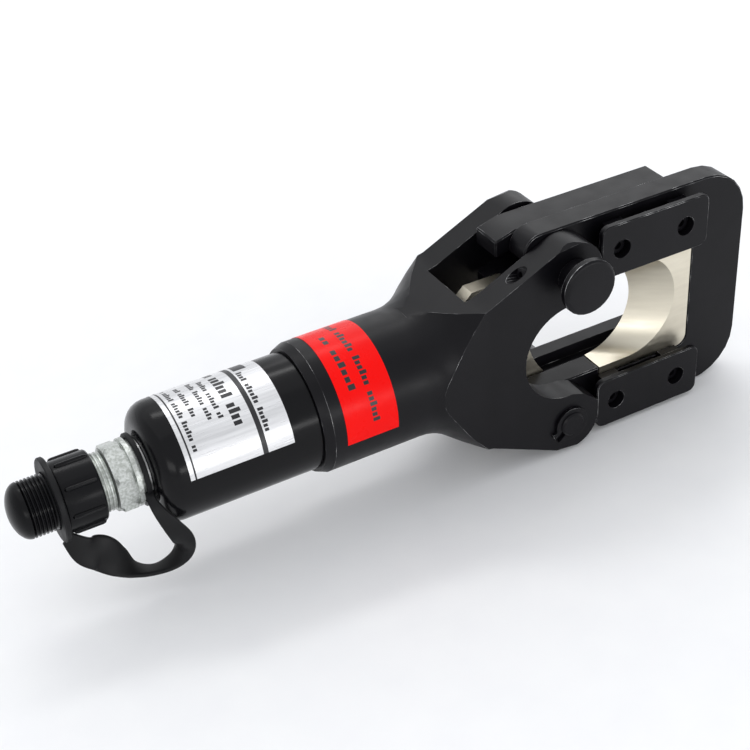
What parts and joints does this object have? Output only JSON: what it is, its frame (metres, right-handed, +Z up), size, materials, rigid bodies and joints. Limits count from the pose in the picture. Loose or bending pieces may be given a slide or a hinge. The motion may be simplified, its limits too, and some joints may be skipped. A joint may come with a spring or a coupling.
{
  "type": "hydraulic cutter head",
  "caption": "Split-type hydraulic cutter head: round cylinder, slotted fork, swinging frame with a crescent blade facing a sliding one, latch pin and capped hose coupler.",
  "frame": {"origin": "centre of the underside of the object's box, as it stands with both head pins one above the other", "axes": "+X along the ram from the hose coupler to the cutting head, +Z up from the hinge pin to the latch pin, -Y the side the latch pin pulls out on"},
  "size_m": [0.3504, 0.071, 0.11],
  "materials": {
    "black_oxide_steel": "satin black oxide",
    "nickel_blade_steel": "ground, nickel-plated",
    "bright_steel": "machined",
    "zinc_plated_steel": "zinc plated",
    "black_rubber": "matt",
    "black_plastic": "satin",
    "bearing_bronze": "machined",
    "silver_label": "brushed foil",
    "red_label": "glossy film"
  },
  "bodies": {
    "tool": {"cylinder_barrel": "black_oxide_steel", "barrel_oring": "black_rubber", "fork_body": "black_oxide_steel", "rod_bush": "bearing_bronze", "return_spring": "bright_steel", "detent_screw": "black_oxide_steel", "detent_spring": "bright_steel", "hinge_pin": "black_oxide_steel", "circlip": "black_oxide_steel", "hex_adapter": "zinc_plated_steel", "sealing_washer": "bright_steel", "coupler_body": "zinc_plated_steel", "poppet_spring": "bright_steel", "cap_strap": "black_rubber", "nameplate": "silver_label", "warning_band": "red_label"},
    "ram": {"ram": "bright_steel", "piston_seal": "black_rubber", "blade_pin": "bright_steel", "moving_blade": "nickel_blade_steel"},
    "head_frame": {"head_frame": "black_oxide_steel", "fixed_blade": "nickel_blade_steel", "blade_screw_upper": "black_oxide_steel", "blade_screw_lower": "black_oxide_steel", "rear_guide_upper": "black_oxide_steel", "rear_guide_lower": "black_oxide_steel", "front_guide_upper": "black_oxide_steel", "front_guide_lower": "black_oxide_steel", "guide_screw_upper_rear": "black_oxide_steel", "guide_screw_upper_tip": "black_oxide_steel", "guide_screw_lower_rear": "black_oxide_steel", "guide_screw_lower_tip": "black_oxide_steel"},
    "latch_pin": {"latch_pin": "black_oxide_steel"},
    "dust_cap": {"dust_cap": "black_plastic"},
    "coupler_poppet": {"coupler_poppet": "bright_steel"},
    "detent_ball": {"detent_ball": "bright_steel"}
  },
  "joints": [
    {"name": "ram_slide", "type": "slide", "parent": "tool", "child": "ram", "axis": [1, 0, 0], "range_m": [0, 0.057], "stiffness_N_per_m": 400, "springref_m": -0.01, "deforming": ["return_spring"]},
    {"name": "frame_hinge", "type": "hinge", "parent": "tool", "child": "head_frame", "pos_m": [0.07175, 0.00565, 0.0161], "axis": [0, 1, 0], "range_deg": [0, 100]},
    {"name": "latch_pin_slide", "type": "slide", "parent": "tool", "child": "latch_pin", "axis": [0, -1, 0], "range_m": [0, 0.045]},
    {"name": "dust_cap_slide", "type": "slide", "parent": "tool", "child": "dust_cap", "axis": [-1, 0, 0], "range_m": [0, 0.02], "deforming": ["cap_strap"]},
    {"name": "coupler_poppet_slide", "type": "slide", "parent": "tool", "child": "coupler_poppet", "axis": [1, 0, 0], "range_m": [0, 0.002], "stiffness_N_per_m": 300, "springref_m": -0.001, "deforming": ["poppet_spring"]},
    {"name": "detent_ball_slide", "type": "slide", "parent": "tool", "child": "detent_ball", "axis": [-0.9774, 0, 0.2114], "range_m": [0, 0.0006], "stiffness_N_per_m": 300, "springref_m": -0.001, "deforming": ["detent_spring"]}
  ]
}
